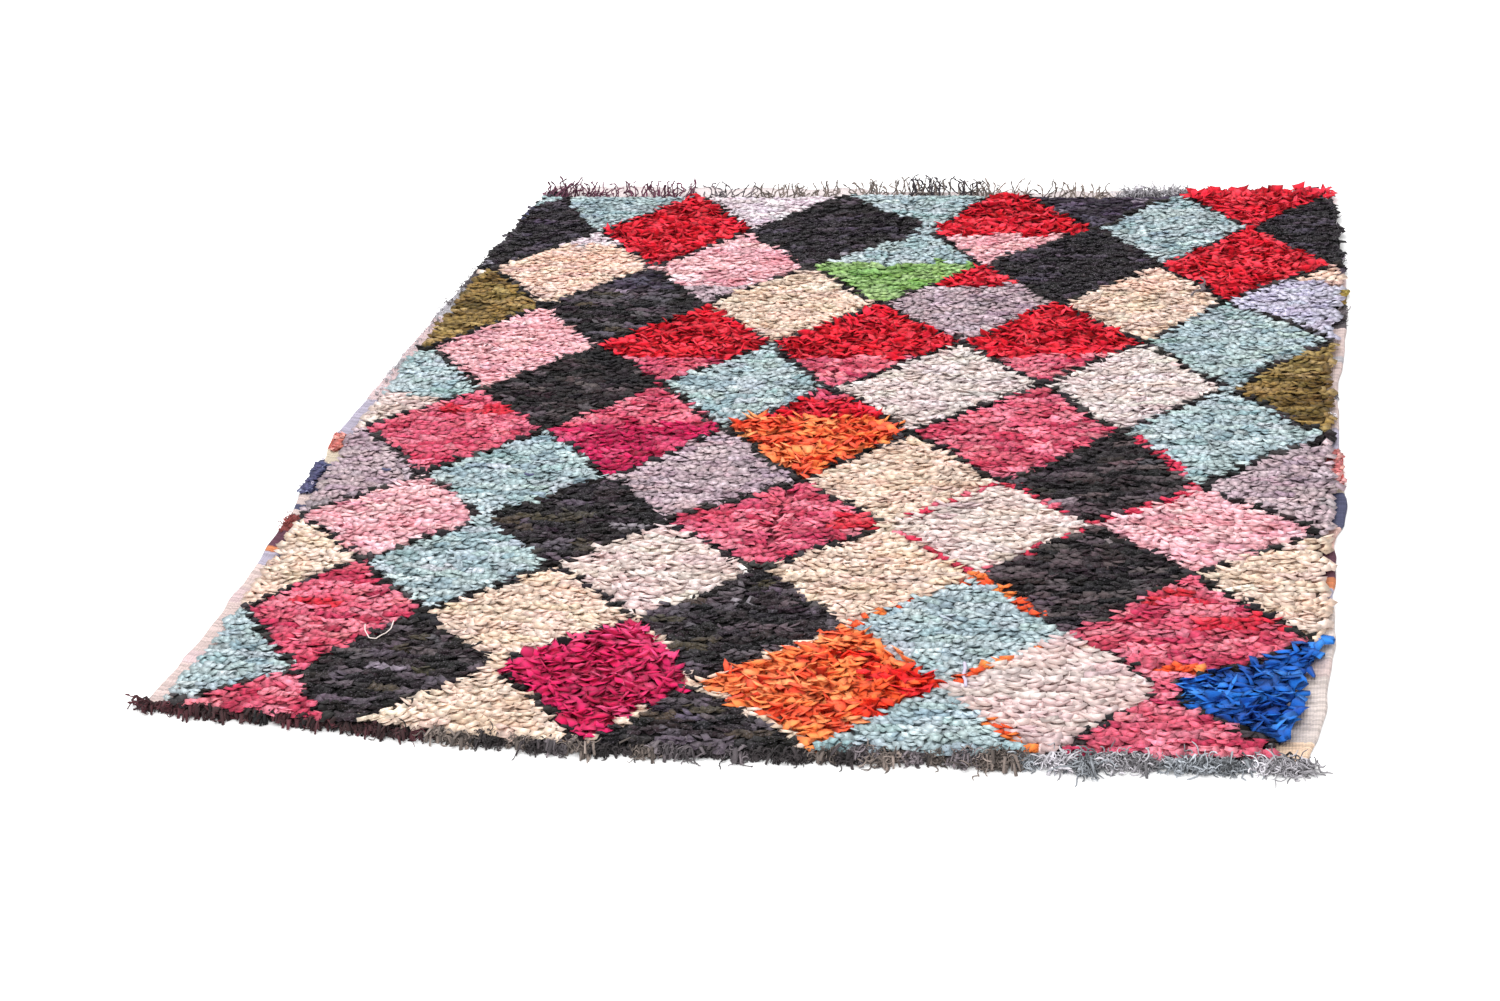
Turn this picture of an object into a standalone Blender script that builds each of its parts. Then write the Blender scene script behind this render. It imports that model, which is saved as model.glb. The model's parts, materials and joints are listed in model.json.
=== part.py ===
# Boucherouite rug: knotted rag pile on a flat woven ground, with the warp ends left as a fringe.
# Metres, +Z up. X runs across the rug and Y along it, from the near end at -Y to the far end.
# The rug lies flat on z = 0, with its origin under the middle of its box.

import math
from collections import namedtuple

import bmesh
import bpy
from mathutils import Vector, noise

# Driving dimensions of the rug
WEAVE_THICKNESS = 0.003
SELVEDGE_HEIGHT = 0.0062
SELVEDGE_WIDTH = 0.013
PILE_HEIGHT = 0.026
SEAT_GAP = 0.0003
STRIP_GAP = 0.0004

# Ends of the ground weave, at the sides of the rug
NEAR_END = -0.922
FAR_END = 0.925
NEAR_BULGE = 0.030
FAR_BULGE = -0.006
BARE_NEAR_END = 0.008
BARE_FAR_END = 0.040

# Fringe of warp ends, fused into a narrow strip at each end of the weave
STRIP_WIDTH = 0.008
STRIP_INSET = 0.008
STRAND_WIDTH = 0.0055
STRAND_TIP = 0.45

# Shares of the space between two strands that a tip may stray, and its bends may swing
STRAND_STRAY = 0.42
STRAND_SWING = 0.15
Fringe = namedtuple("Fringe", "strands shortest longest steps colour")
NEAR_FRINGE = Fringe(72, 0.007, 0.024, 2, (0.16, 0.14, 0.15))
FAR_FRINGE = Fringe(92, 0.020, 0.046, 3, (0.13, 0.06, 0.07))

# Diamond lattice of the pile: whole columns and rows count half diamonds
COLUMNS = 10
ROWS = 12
CELLS_PER_STEP = 3
ROW_STEPS = (0.107, 0.143, 0.149, 0.135, 0.137, 0.148, 0.179, 0.160, 0.148, 0.180, 0.179, 0.163)
FURROW_DEPTH = 0.0036
FURROW_WIDTH = 0.45
LUMP_HEIGHT = 0.0050
LUMP_SIZE = 0.061
RIM_DROP = 0.007

# Locks of rag at the pile's rim. They clear the selvedge, and each narrows twice towards its tip.
LOCK_REACH = 0.017
LOCK_VARIETY = 0.9
LOCK_FLOOR = 0.0085
LOCK_SWAY = 0.012
LOCK_WIDTHS = (0.66, 0.28)

# Sizes of the swells in the smooth noise that makes neighbours differ
SWAY_SWELL = 0.027
LENGTH_SWELL = 0.016
BEND_SWELL = 0.019
STRAND_SWELL = 0.034

# Outer edges of the weave and the bare selvedge beside the pile, from near to far
Station = namedtuple("Station", "along left right left_band right_band")
EDGE_STATIONS = (
    Station(-0.946, -0.756, 0.737, 0.020, 0.046),
    Station(-0.796, -0.746, 0.756, 0.021, 0.038),
    Station(-0.646, -0.746, 0.768, 0.024, 0.019),
    Station(-0.446, -0.753, 0.765, 0.020, 0.019),
    Station(-0.266, -0.770, 0.777, 0.023, 0.023),
    Station(-0.096, -0.784, 0.772, 0.026, 0.025),
    Station(0.074, -0.778, 0.766, 0.019, 0.019),
    Station(0.304, -0.773, 0.778, 0.018, 0.026),
    Station(0.504, -0.768, 0.778, 0.018, 0.021),
    Station(0.754, -0.765, 0.764, 0.017, 0.017),
    Station(0.969, -0.750, 0.746, 0.018, 0.017),
)

# Rags: base colour, and how far the pile stands above or below the usual height
Rag = namedtuple("Rag", "colour lift")
RAGS = {
    "rose": Rag((0.66, 0.09, 0.15), 0.000),
    "mint": Rag((0.40, 0.60, 0.60), 0.000),
    "cream": Rag((0.76, 0.61, 0.44), 0.000),
    "charcoal": Rag((0.030, 0.028, 0.035), 0.001),
    "black": Rag((0.012, 0.011, 0.015), 0.002),
    "blush": Rag((0.74, 0.64, 0.60), 0.000),
    "grey": Rag((0.36, 0.30, 0.34), 0.000),
    "pink": Rag((0.80, 0.38, 0.42), 0.001),
    "red": Rag((0.66, 0.015, 0.03), 0.003),
    "orange": Rag((0.90, 0.17, 0.02), 0.004),
    "magenta": Rag((0.66, 0.012, 0.12), 0.004),
    "olive": Rag((0.26, 0.17, 0.035), 0.001),
    "blue": Rag((0.02, 0.13, 0.50), 0.004),
    "lavender": Rag((0.50, 0.49, 0.64), 0.001),
    "lilac": Rag((0.72, 0.68, 0.74), 0.000),
    "lime": Rag((0.15, 0.50, 0.08), 0.002),
    "peach": Rag((0.80, 0.54, 0.38), 0.001),
}

# Diamonds from the near row to the far row, left to right. Even rows lie on odd columns.
DIAMOND_ROWS = (
    ("rose", "cream", "charcoal", "mint", "rose"),
    ("mint", "charcoal", "magenta", "orange", "blush", "blue"),
    ("rose", "cream", "charcoal", "mint", "rose"),
    ("cream", "mint", "blush", "cream", "charcoal", "cream"),
    ("pink", "charcoal", "rose", "lilac", "pink"),
    ("grey", "mint", "grey", "cream", "charcoal", "grey"),
    ("rose", "magenta", "orange", "rose", "mint"),
    ("mint", "charcoal", "mint", "blush", "blush", "olive"),
    ("pink", "red", "red", "red", "mint"),
    ("olive", "charcoal", "cream", "grey", "cream", "lavender"),
    ("peach", "pink", "lime", "black", "red"),
    ("black", "red", "black", "red", "mint", "black"),
    ("mint", "lilac", "mint", "black", "red"),
)

WEAVE_COLOUR = (0.74, 0.64, 0.60)


def clear_scene():
    for thing in list(bpy.data.objects):
        bpy.data.objects.remove(thing)


def cloth_material(name, colour):
    material = bpy.data.materials.new(name)
    material.use_nodes = True
    shader = material.node_tree.nodes["Principled BSDF"]
    shader.inputs["Base Color"].default_value = (*colour, 1.0)
    shader.inputs["Roughness"].default_value = 0.95
    shader.inputs["Metallic"].default_value = 0.0
    return material


def mix(low, high, share):
    return low + (high - low) * share


def smooth(share):
    share = min(max(share, 0.0), 1.0)
    return share * share * (3 - 2 * share)


def chance(point, swell):
    """Smooth noise from -1 to 1, the same in each run."""
    return noise.noise(point / swell)


def station_at(along):
    """The side edges and bare bands at a place along the rug, eased between the stations."""
    last = len(EDGE_STATIONS) - 2
    place = 0
    while place < last and EDGE_STATIONS[place + 1].along < along:
        place += 1
    low, high = EDGE_STATIONS[place], EDGE_STATIONS[place + 1]
    share = smooth((along - low.along) / (high.along - low.along))
    return Station(*(mix(a, b, share) for a, b in zip(low, high)))


def half_width():
    return max(station.right for station in EDGE_STATIONS)


def near_end(across):
    return NEAR_END - NEAR_BULGE * (1 - (across / half_width()) ** 2)


def far_end(across):
    return FAR_END + FAR_BULGE * math.cos(math.pi * across / half_width())


def weave_point(share_across, share_along, edge_offset=0.0):
    """A point of the weave's outline grid. edge_offset is a distance in from the nearer side edge."""
    station = station_at(mix(NEAR_END, FAR_END, share_along))
    across = mix(station.left + edge_offset, station.right - edge_offset, share_across)
    return Vector((across, mix(near_end(across), far_end(across), share_along), 0.0))


def add_object(name, bm, materials):
    bm.normal_update()
    mesh = bpy.data.meshes.new(name)
    bm.to_mesh(mesh)
    bm.free()
    for material in materials:
        mesh.materials.append(material)
    rug_piece = bpy.data.objects.new(name, mesh)
    bpy.context.scene.collection.objects.link(rug_piece)
    return rug_piece


def close_downwards(bm, floor):
    """Turns an open top surface into a closed slab whose underside is flat at the height floor."""
    top = list(bm.faces)
    rim = [edge for edge in bm.edges if edge.is_boundary]
    made = bmesh.ops.extrude_edge_only(bm, edges=rim)["geom"]
    under = [item for item in made if isinstance(item, bmesh.types.BMVert)]
    for vertex in under:
        vertex.co.z = floor
    walls = [face for face in bm.faces if face not in set(top)]
    under_set = set(under)
    loop = [edge for edge in bm.edges if all(vertex in under_set for vertex in edge.verts)]
    bmesh.ops.contextual_create(bm, geom=loop)
    bmesh.ops.recalc_face_normals(bm, faces=bm.faces)
    return walls


def make_ground_weave():
    """The flat woven cloth: a thin sheet with a thicker wrapped selvedge down each side."""
    rows = 40
    # Distance in from the edge, and the height of the top there
    selvedge = (
        (0.0, 0.55 * SELVEDGE_HEIGHT),
        (0.22 * SELVEDGE_WIDTH, 0.95 * SELVEDGE_HEIGHT),
        (0.62 * SELVEDGE_WIDTH, SELVEDGE_HEIGHT),
        (SELVEDGE_WIDTH, WEAVE_THICKNESS),
    )
    middle = 8
    bm = bmesh.new()
    lines = []
    for row in range(rows + 1):
        along = row / rows
        line = [(weave_point(0.0, along, offset), height) for offset, height in selvedge]
        inner = selvedge[-1][0]
        line += [(weave_point(i / middle, along, inner), WEAVE_THICKNESS) for i in range(1, middle)]
        line += [(weave_point(1.0, along, offset), height) for offset, height in reversed(selvedge)]
        lines.append([bm.verts.new((p.x, p.y, height)) for p, height in line])
    for low, high in zip(lines, lines[1:]):
        for i in range(len(low) - 1):
            bm.faces.new((low[i], low[i + 1], high[i + 1], high[i]))
    close_downwards(bm, 0.0)
    return add_object("ground_weave", bm, [cloth_material("ground_weave", WEAVE_COLOUR)])


def row_places():
    """Where each half row of diamonds lies, as a share of the pile's length."""
    places = [0.0]
    for step in ROW_STEPS:
        places.append(places[-1] + step)
    return [place / places[-1] for place in places]


def pile_point(column, row):
    """Lattice coordinates to a point on the weave, so that the diamonds follow the woven edges."""
    places = row_places()
    whole = min(int(row), ROWS - 1)
    share = mix(places[whole], places[whole + 1], row - whole)
    station = station_at(mix(NEAR_END, FAR_END, share))
    left, right = station.left + station.left_band, station.right - station.right_band
    across = mix(left, right, column / COLUMNS)
    near, far = near_end(across) + BARE_NEAR_END, far_end(across) - BARE_FAR_END
    return Vector((across, mix(near, far, share), 0.0))


def diamond_at(column, row):
    """The diamond that holds a lattice point: its column, its row, and the share in from its edge."""
    found = None
    for c in range(math.floor(column) - 1, math.floor(column) + 3):
        for r in range(math.floor(row) - 1, math.floor(row) + 3):
            inside = 1 - abs(column - c) - abs(row - r)
            if (c + r) % 2 == 1 and (found is None or inside > found[2]):
                found = (c, r, inside)
    return found


def rag_of(c, r):
    """The rag of a diamond. The near row of half diamonds has its centres on odd columns."""
    row = DIAMOND_ROWS[min(max(r, 0), ROWS)]
    place = (c - 1) // 2 if r % 2 == 0 else c // 2
    return row[min(max(place, 0), len(row) - 1)]


def pile_top(column, row, on_rim):
    """The height of the pile: crowned on each diamond, lower along the outline yarn, and lumpy."""
    c, r, inside = diamond_at(column, row)
    point = pile_point(column, row)
    height = PILE_HEIGHT + LUMP_HEIGHT * chance(point, LUMP_SIZE)
    crown = smooth(inside / FURROW_WIDTH)
    height += crown * RAGS[rag_of(c, r)].lift - (1 - crown) * FURROW_DEPTH
    return height - RIM_DROP if on_rim else height


def pull_out(bm, face, reaches, widths, side, floor):
    """Draws a face out into a tapering strand. reaches are vectors, widths are shares of the root's."""
    roots = [vertex.co.copy() for vertex in face.verts]
    middle = sum(roots, Vector()) / len(roots)
    tip = face
    for reach, width in zip(reaches, widths):
        tip = bmesh.ops.extrude_discrete_faces(bm, faces=[tip])["faces"][0]
        for vertex, root in zip(tip.verts, roots):
            offset = root - middle
            across = side * offset.dot(side) * width
            height = max(floor, floor + (root.z - floor) * width + reach.z)
            vertex.co = Vector((middle.x, middle.y, 0.0)) + across + Vector((reach.x, reach.y, height))
    return tip


def outward(face):
    direction = Vector((face.normal.x, face.normal.y, 0.0))
    return direction.normalized()


def make_rim_locks(bm, walls):
    """Locks of rag that stand out from the pile's rim and droop over the selvedge."""
    bm.normal_update()
    for wall in walls:
        middle = wall.calc_center_median()
        way = outward(wall)
        side = Vector((-way.y, way.x, 0.0))
        tip = way * LOCK_REACH * (1.0 + LOCK_VARIETY * chance(middle, LENGTH_SWELL))
        tip += side * LOCK_SWAY * chance(middle, SWAY_SWELL)
        pull_out(bm, wall, (tip / 2, tip), LOCK_WIDTHS, side, LOCK_FLOOR)


def make_pile():
    """The shaggy pile: one lumpy slab on the weave, with a furrow along each diamond's outline."""
    bm = bmesh.new()
    across, along = COLUMNS * CELLS_PER_STEP, ROWS * CELLS_PER_STEP
    lines = []
    for j in range(along + 1):
        line = []
        for i in range(across + 1):
            column, row = i / CELLS_PER_STEP, j / CELLS_PER_STEP
            on_rim = i in (0, across) or j in (0, along)
            point = pile_point(column, row)
            point.z = pile_top(column, row, on_rim)
            line.append(bm.verts.new(point))
        lines.append(line)
    rags = list(RAGS)
    for j in range(along):
        for i in range(across):
            a, b = lines[j][i], lines[j][i + 1]
            d, e = lines[j + 1][i], lines[j + 1][i + 1]
            c, r, _ = diamond_at((i + 0.5) / CELLS_PER_STEP, (j + 0.5) / CELLS_PER_STEP)
            falls = ((i + 0.5) / CELLS_PER_STEP - c) * ((j + 0.5) / CELLS_PER_STEP - r) > 0
            halves = ((a, b, d), (b, e, d)) if falls else ((a, b, e), (a, e, d))
            for half in halves:
                bm.faces.new(half).material_index = rags.index(rag_of(c, r))
    walls = close_downwards(bm, WEAVE_THICKNESS + SEAT_GAP)
    make_rim_locks(bm, walls)
    materials = [cloth_material("rag_" + rag, RAGS[rag].colour) for rag in rags]
    return add_object("pile", bm, materials)


def make_fringe(name, end_line, way, fringe):
    """A narrow strip beside one end of the weave, with the warp ends drawn out of it as strands."""
    station = station_at(end_line(0.0))
    left, right = station.left + STRIP_INSET, station.right - STRIP_INSET
    pitch = (right - left) / fringe.strands
    bm = bmesh.new()
    inner_line, outer_line = [], []
    for place in range(fringe.strands):
        middle = left + (place + 0.5) * pitch
        stops = [middle - STRAND_WIDTH / 2, middle + STRAND_WIDTH / 2]
        if place == 0:
            stops.insert(0, left)
        if place == fringe.strands - 1:
            stops.append(right)
        for across in stops:
            start = end_line(across) + way * STRIP_GAP
            inner_line.append(bm.verts.new((across, start, WEAVE_THICKNESS)))
            outer_line.append(bm.verts.new((across, start + way * STRIP_WIDTH, WEAVE_THICKNESS)))
    for i in range(len(inner_line) - 1):
        bm.faces.new((inner_line[i], inner_line[i + 1], outer_line[i + 1], outer_line[i]))
    walls = close_downwards(bm, 0.0)
    bm.normal_update()
    out = Vector((0.0, way, 0.0))
    side = Vector((1.0, 0.0, 0.0))
    roots = [
        wall for wall in walls
        if outward(wall).dot(out) > 0.9 and abs(wall_width(wall) - STRAND_WIDTH) < STRAND_WIDTH / 4
    ]
    for wall in roots:
        draw_strand(bm, wall, out, side, fringe, pitch)
    return add_object(name, bm, [cloth_material(name, fringe.colour)])


def wall_width(wall):
    places = [vertex.co.x for vertex in wall.verts]
    return max(places) - min(places)


def draw_strand(bm, wall, out, side, fringe, pitch):
    """One warp end, lying on the floor with a slow bend to one side."""
    middle = wall.calc_center_median()
    stray = chance(middle, BEND_SWELL)
    length = mix(fringe.shortest, fringe.longest, 0.5 + 0.5 * chance(middle, STRAND_SWELL))
    reaches = []
    widths = []
    for step in range(1, fringe.steps + 1):
        share = step / fringe.steps
        bend = pitch * (STRAND_STRAY * stray * share + STRAND_SWING * math.sin(math.tau * (share + stray)))
        reaches.append(out * length * share + side * bend)
        widths.append(mix(1.0, STRAND_TIP, share))
    pull_out(bm, wall, reaches, widths, side, 0.0)


def main():
    clear_scene()
    make_ground_weave()
    make_pile()
    make_fringe("fringe_near", near_end, -1.0, NEAR_FRINGE)
    make_fringe("fringe_far", far_end, 1.0, FAR_FRINGE)


main()
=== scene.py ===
import json
import math
import bpy
import numpy as np
from mathutils import Matrix, Vector, noise

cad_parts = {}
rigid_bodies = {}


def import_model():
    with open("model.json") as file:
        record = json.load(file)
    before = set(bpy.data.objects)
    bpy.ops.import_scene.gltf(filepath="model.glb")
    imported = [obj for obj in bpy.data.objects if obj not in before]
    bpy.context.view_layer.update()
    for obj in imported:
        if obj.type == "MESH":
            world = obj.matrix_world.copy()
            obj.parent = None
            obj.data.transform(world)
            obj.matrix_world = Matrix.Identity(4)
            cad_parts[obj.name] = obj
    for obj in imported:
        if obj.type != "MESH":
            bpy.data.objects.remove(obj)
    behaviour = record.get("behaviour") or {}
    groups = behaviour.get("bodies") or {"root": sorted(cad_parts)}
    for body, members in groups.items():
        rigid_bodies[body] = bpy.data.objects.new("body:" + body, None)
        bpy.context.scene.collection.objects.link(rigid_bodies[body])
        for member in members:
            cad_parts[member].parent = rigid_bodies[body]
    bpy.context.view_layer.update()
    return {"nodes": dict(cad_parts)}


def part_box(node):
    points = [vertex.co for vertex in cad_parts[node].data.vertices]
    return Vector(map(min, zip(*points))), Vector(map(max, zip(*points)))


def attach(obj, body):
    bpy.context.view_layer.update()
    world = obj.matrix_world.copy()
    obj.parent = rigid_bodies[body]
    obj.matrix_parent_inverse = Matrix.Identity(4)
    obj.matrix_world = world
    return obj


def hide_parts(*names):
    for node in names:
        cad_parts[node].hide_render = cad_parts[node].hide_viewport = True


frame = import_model()
weaveLow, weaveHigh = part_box("ground_weave")
dice = np.random.default_rng(21)
print("frame loaded:", ", ".join(sorted(frame["nodes"])))


# Small helpers

def deselectAll():
    for thing in bpy.context.scene.objects:
        thing.select_set(False)


def mix(low, high, share):
    return low + (high - low) * share


def smooth(share):
    share = np.clip(share, 0.0, 1.0)
    return share * share * (3 - 2 * share)


def eased(value, places, heights):
    # a smooth curve through a short table
    places, heights = np.asarray(places), np.asarray(heights)
    i = np.clip(np.searchsorted(places, value) - 1, 0, len(places) - 2)
    share = smooth((value - places[i]) / (places[i + 1] - places[i]))
    return heights[i] + (heights[i + 1] - heights[i]) * share


def linear(tone):
    # a colour of 0 to 255, as seen on a screen, to the renderer's own numbers
    tone = np.asarray(tone, float) / 255
    return np.where(tone <= 0.04045, tone / 12.92, ((tone + 0.055) / 1.055) ** 2.4)


def wander(x, y, swell, seed=0.0):
    # smooth noise from -1 to 1
    return noise.noise(Vector((x / swell, y / swell, seed * 7.31)))


def table(columns, *rows):
    # the columns are named once, above their rows
    return [dict(zip(columns.split(), row)) for row in rows]


def varied(tone, low, high):
    return np.clip(np.array(tone, float) * dice.uniform(low, high), 4, 250)


def addPiece(name, mesh):
    piece = bpy.data.objects.new(name, mesh)
    bpy.context.scene.collection.objects.link(piece)
    return piece


def finishPiece(piece, node):
    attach(piece, "root")
    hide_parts(node)
    return piece


# Camera, floor and light

studio = {
    "cameraPlace": (0.735, -3.435, 1.677),
    "heading": 14.43,  # degrees left of the rug's length
    "pitch": 27.41,  # degrees down
    "roll": -5.13,
    "lens": 59.55,
    "floorSize": 24.0,
    "floorHeight": -0.0006,  # just under the lowest yarns
    "floorTones": ((0.3, (247, 247, 247)), (0.7, (250, 250, 250))),
    "skyLight": 1.05,
    "softboxes": table(
        "name place aim size power",
        ("softboxOver", (-0.9, 0.9, 3.6), (0, 0, 0), 2.4, 74),
        ("softboxFront", (0.2, -3.0, 3.2), (0, -0.2, 0), 2.2, 104),
    ),
}


def setCamera():
    data = bpy.data.cameras.new("camera")
    data.sensor_width, data.lens = 36.0, studio["lens"]
    camera = addPiece("camera", data)
    camera.matrix_world = (
        Matrix.Translation(studio["cameraPlace"])
        @ Matrix.Rotation(math.radians(studio["heading"]), 4, "Z")
        @ Matrix.Rotation(math.radians(90 - studio["pitch"]), 4, "X")
        @ Matrix.Rotation(math.radians(studio["roll"]), 4, "Z")
    )
    bpy.context.scene.camera = camera


def addSoftbox(name, place, aim, size, power):
    data = bpy.data.lights.new(name, "AREA")
    data.shape, data.size, data.energy = "DISK", size, power
    lamp = addPiece(name, data)
    lamp.location = place
    lamp.rotation_euler = (Vector(aim) - Vector(place)).to_track_quat("-Z", "Y").to_euler()


setCamera()
for softbox in studio["softboxes"]:
    addSoftbox(**softbox)
world = bpy.data.worlds.new("studioSky")
world.use_nodes = True
sky = world.node_tree.nodes["Background"].inputs
sky["Color"].default_value, sky["Strength"].default_value = (1, 1, 1, 1), studio["skyLight"]
bpy.context.scene.world = world
bpy.context.scene.view_settings.view_transform = "Standard"
print("studio set")


# Shader maths written as Python

class Link:
    def __init__(self, tree, socket=None):
        self.tree, self.socket = tree, socket

    def node(self, kind, settings=None, out=0, **values):
        # a value goes to the socket of its name, and s0 is the first socket
        made = self.tree.nodes.new("ShaderNode" + kind)
        for name, value in (settings or {}).items():
            if name == "stops":
                ramp = made.color_ramp.elements
                while len(ramp) < len(value):
                    ramp.new(0.5)
                for stop, (place, tone) in zip(ramp, value):
                    stop.position, stop.color = place, (*linear(tone), 1.0)
            else:
                setattr(made, name, value)
        for name, value in values.items():
            plug = made.inputs[int(name[1:]) if name[1:].isdigit() else name.replace("_", " ")]
            if isinstance(value, Link):
                self.tree.links.new(value.socket, plug)
            else:
                plug.default_value = value
        return Link(self.tree, made.outputs[out])

    def maths(self, operation, first, second=0.0):
        return self.node("Math", {"operation": operation}, s0=first, s1=second)

    def __add__(self, other):
        return self.maths("ADD", self, other)

    def __radd__(self, other):
        return self.maths("ADD", other, self)

    def __sub__(self, other):
        return self.maths("SUBTRACT", self, other)

    def __rsub__(self, other):
        return self.maths("SUBTRACT", other, self)

    def __mul__(self, other):
        return self.maths("MULTIPLY", self, other)

    def __rmul__(self, other):
        return self.maths("MULTIPLY", other, self)

    def clipped(self):
        return self.node("Clamp", s0=self)

    def dimmed(self, amount):
        # a colour times a number
        return self.node("VectorMath", {"operation": "SCALE"}, s0=self, s3=amount)

    def blended(self, other, share):
        return self.node("Mix", {"data_type": "RGBA"}, 2, s0=share, s6=self, s7=other)


def startMaterial(name, sheen=0.0):
    material = bpy.data.materials.new(name)
    material.use_nodes = True
    shader = material.node_tree.nodes["Principled BSDF"]
    shader.inputs["Sheen Weight"].default_value = sheen
    shader.inputs["Sheen Roughness"].default_value = 0.6
    shader.inputs["Specular IOR Level"].default_value = 0.2
    return material, Link(material.node_tree), shader


def plugIn(material, shader, colour, roughness, height=None, depth=0.001, strength=0.5):
    links = material.node_tree.links
    links.new(colour.socket, shader.inputs["Base Color"])
    if isinstance(roughness, Link):
        links.new(roughness.socket, shader.inputs["Roughness"])
    else:
        shader.inputs["Roughness"].default_value = roughness
    if height is not None:
        bump = height.node("Bump", None, 0, Strength=strength, Distance=depth, Height=height)
        links.new(bump.socket, shader.inputs["Normal"])
    return material


def floorMaterial():
    material, link, shader = startMaterial("studioFloor")
    place = link.node("TexCoord", out=3)
    cloudy = link.node("TexNoise", Vector=place, Scale=0.8, Detail=2.0)
    tone = link.node("ValToRGB", {"stops": studio["floorTones"]}, Fac=cloudy)
    return plugIn(material, shader, tone, 0.9)


def addFloor():
    deselectAll()
    bpy.ops.mesh.primitive_plane_add(size=studio["floorSize"], location=(0, 0, studio["floorHeight"]))
    floor = bpy.context.object
    floor.name = "studioFloor"
    floor.data.materials.append(floorMaterial())


addFloor()


# The rug's outline and its lattice of diamonds

edges = {  # from the near end to the far end
    "along": (-0.946, -0.796, -0.646, -0.446, -0.266, -0.096, 0.074, 0.304, 0.504, 0.754, 0.969),
    "left": (-0.756, -0.746, -0.746, -0.753, -0.770, -0.784, -0.778, -0.773, -0.766, -0.750, -0.738),
    "right": (0.737, 0.756, 0.768, 0.765, 0.777, 0.772, 0.766, 0.778, 0.778, 0.764, 0.746),
    "leftBand": (0.020, 0.021, 0.024, 0.020, 0.023, 0.026, 0.019, 0.018, 0.014, 0.006, 0.006),
    "rightBand": (0.046, 0.038, 0.019, 0.019, 0.023, 0.025, 0.019, 0.024, 0.014, 0.005, 0.004),
    "nearBulge": 0.030,
    "farBulge": 0.006,
    "nearSwell": 0.019,  # the near end swells out a little left of the middle
    "swellAt": -0.14,
    "swellReach": 0.34,
    "bareNear": 0.006,
    # how much of the weave lies bare at the far end, from left to right
    "bareAt": (-0.70, -0.32, -0.05, 0.15, 0.30, 0.44, 0.50),
    "bareFar": (0.030, 0.030, 0.008, 0.016, 0.028, 0.028, 0.008),
    "bareStops": 0.50,
}
halfWidth = weaveHigh.x
nearSide = weaveLow.y + edges["nearBulge"]
farSide = weaveHigh.y - edges["farBulge"]

lattice = {  # half diamonds, from the near end to the far end and from left to right
    "rowsLeft": (
        -0.975, -0.838, -0.696, -0.556, -0.425, -0.290, -0.130, 0.038, 0.178, 0.346, 0.521, 0.697, 0.883,
    ),
    "rowsRight": (
        -0.959, -0.813, -0.670, -0.525, -0.384, -0.252, -0.078, 0.072, 0.252, 0.404, 0.565, 0.734, 0.891,
    ),
    "columnsNear": (-0.735, -0.589, -0.448, -0.302, -0.152, -0.010, 0.142, 0.284, 0.428, 0.588, 0.742),
    "columnsFar": (-0.728, -0.575, -0.427, -0.284, -0.143, 0.015, 0.169, 0.317, 0.477, 0.613, 0.755),
    "rowsApart": 1.5,  # the two lists of rows lie this far apart, about the middle
    "columnsFrom": -0.9,
    "columnsApart": 1.7,
    "unevenness": 0.055,
    "swell": 0.075,
    "stopWaver": 0.12,  # how far the end of a rag inside a diamond wavers
}

# Corners of diamonds off the lattice: their column and row, and how far across and along they are moved
movedCorners = (
    (0, 0, -0.20, 0.0), (2, 0, -0.15, 0.0), (4, 0, 0.12, -0.08), (1, 1, 0.10, -0.10), (3, 1, 0.0, 0.10),
    (5, 1, -0.15, -0.10), (9, 1, -0.20, 0.10), (0, 2, 0.20, 0.0), (9, 3, -0.10, 0.15), (4, 4, -0.15, 0.0),
    (8, 4, -0.05, 0.10), (9, 5, -0.10, 0.0), (6, 6, -0.10, -0.05), (1, 7, 0.0, -0.20), (5, 7, -0.15, -0.10),
    (7, 7, 0.10, 0.05), (6, 8, 0.10, 0.0), (9, 9, -0.15, 0.05), (5, 11, 0.20, 0.0), (7, 11, 0.14, 0.0),
    (8, 11, 0.12, 0.0), (0, 12, 0.30, 0.0), (6, 12, 0.0, 0.20),
)

# Corners where the rags above and below run into each other, and how far aside
runTogether = table(
    "corner rag reach",
    ((1, 1), "rose", 0.12), ((3, 1), "cream", 0.16), ((9, 1), "rose", 0.20), ((2, 4), "mint", 0.14),
    ((6, 4), "cream", 0.14), ((9, 7), "mint", 0.12), ((5, 11), "mint", 0.16),
)


def edgeAt(name, y):
    return eased(y, edges["along"], edges[name])


def nearEnd(x):
    swell = edges["nearSwell"] * np.exp(-(((x - edges["swellAt"]) / edges["swellReach"]) ** 2))
    return weaveLow.y + edges["nearBulge"] * (x / halfWidth) ** 2 - swell


def farEnd(x):
    return farSide - edges["farBulge"] * np.cos(np.pi * x / halfWidth)


def bareEnd(x):
    # where the pile stops at the far end
    return farEnd(x) - eased(x, edges["bareAt"], edges["bareFar"])


def rugPoint(across, along, inset=0.0):
    # shares of the way from edge to edge and from end to end
    y = mix(nearSide, farSide, along)
    x = mix(edgeAt("left", y) + inset, edgeAt("right", y) - inset, across)
    return x, mix(nearEnd(x), farEnd(x), along)


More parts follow.
